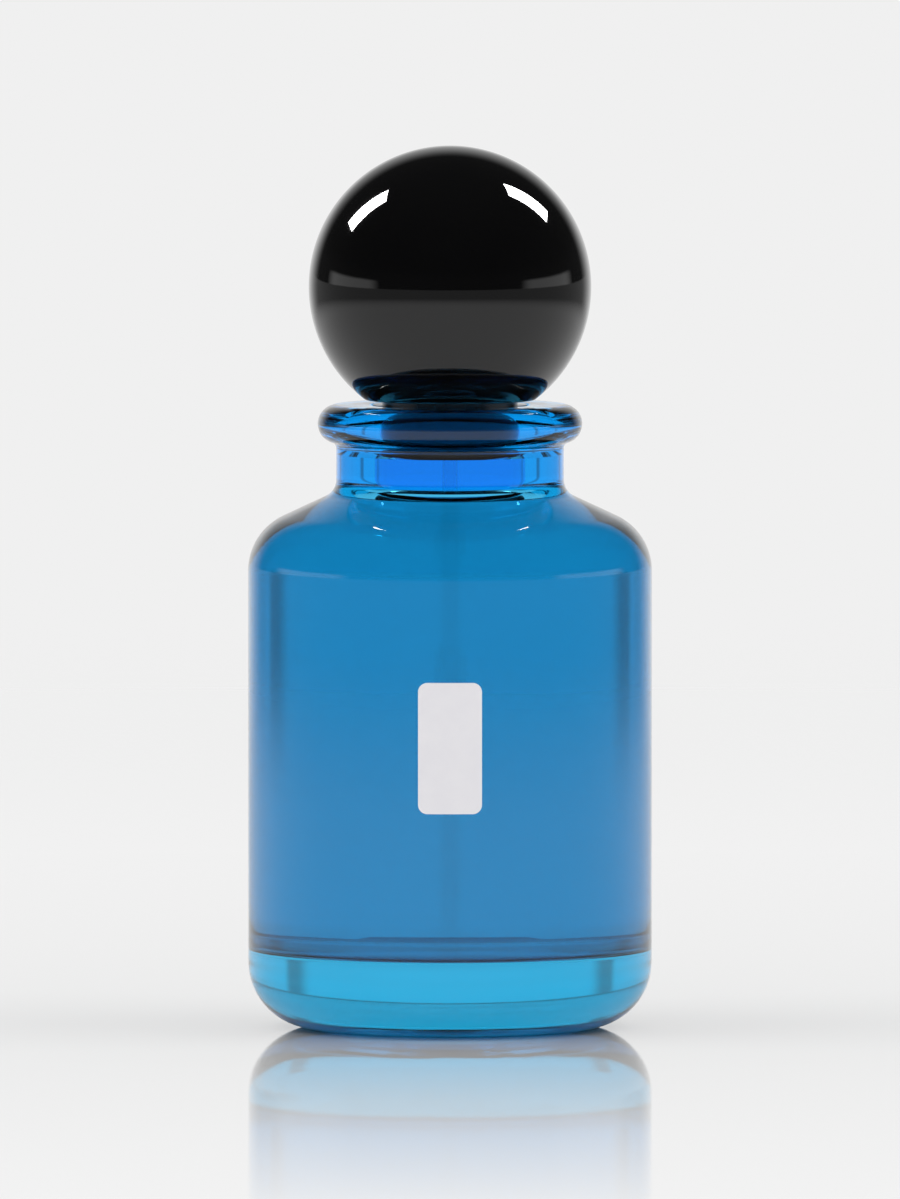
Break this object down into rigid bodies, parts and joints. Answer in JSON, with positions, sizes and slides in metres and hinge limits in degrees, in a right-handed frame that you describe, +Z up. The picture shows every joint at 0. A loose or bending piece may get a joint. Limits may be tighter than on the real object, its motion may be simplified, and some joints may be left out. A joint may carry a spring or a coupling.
{
  "type": "perfume atomiser",
  "caption": "Round blue glass perfume bottle with a rolled lip, a spray pump and dip tube in its mouth, and a black ball cap that lifts off.",
  "frame": {"origin": "centre of the base, on the plane that the bottle stands on", "axes": "+Z up along the bottle's axis; the nozzle and the front label face -Y"},
  "size_m": [0.0524, 0.0526, 0.1148],
  "materials": {
    "blue_glass": "gloss",
    "perfume": "gloss",
    "label_white": "satin",
    "seal_rubber": "satin",
    "black_plastic": "gloss",
    "black_gloss": "polished",
    "black_metal": "satin",
    "clear_plastic": "gloss",
    "natural_plastic": "satin",
    "spring_steel": "satin",
    "weight_steel": "satin"
  },
  "bodies": {
    "bottle": {"bottle": "blue_glass", "perfume": "perfume", "front_label": "label_white", "mouth_gasket": "seal_rubber", "neck_plug": "black_plastic", "plug_o_ring": "seal_rubber", "pump_housing": "black_plastic", "ball_retainer": "clear_plastic", "dip_tube": "clear_plastic", "housing_gasket": "seal_rubber", "pump_turret": "black_plastic", "stem_seal": "seal_rubber", "return_spring": "spring_steel", "collar": "black_metal"},
    "stem": {"stem": "natural_plastic", "stem_foot": "natural_plastic"},
    "piston": {"piston": "natural_plastic"},
    "actuator": {"actuator_core": "black_plastic", "actuator_shell": "black_metal", "nozzle_insert": "black_plastic"},
    "inlet_ball": {"inlet_ball": "spring_steel"},
    "cap": {"cap_ball": "black_gloss", "cap_liner": "black_plastic", "cap_grip_ring": "seal_rubber", "cap_weight": "weight_steel"}
  },
  "joints": [
    {"name": "spray_press", "type": "slide", "parent": "bottle", "child": "stem", "axis": [0, 0, -1], "range_m": [0, 0.004], "stiffness_N_per_m": 1500, "springref_m": -0.002, "deforming": ["return_spring"]},
    {"name": "actuator_turn", "type": "hinge", "parent": "stem", "child": "actuator", "pos_m": [0, 0, 0.0975], "axis": [0, 0, 1], "continuous": true},
    {"name": "piston_slip", "type": "slide", "parent": "stem", "child": "piston", "axis": [0, 0, 1], "range_m": [0, 0.0003]},
    {"name": "ball_lift", "type": "slide", "parent": "bottle", "child": "inlet_ball", "axis": [0, 0, 1], "range_m": [0, 0.0005]},
    {"name": "cap_lift", "type": "slide", "parent": "bottle", "child": "cap", "axis": [0, 0, 1], "range_m": [0, 0.035]}
  ]
}
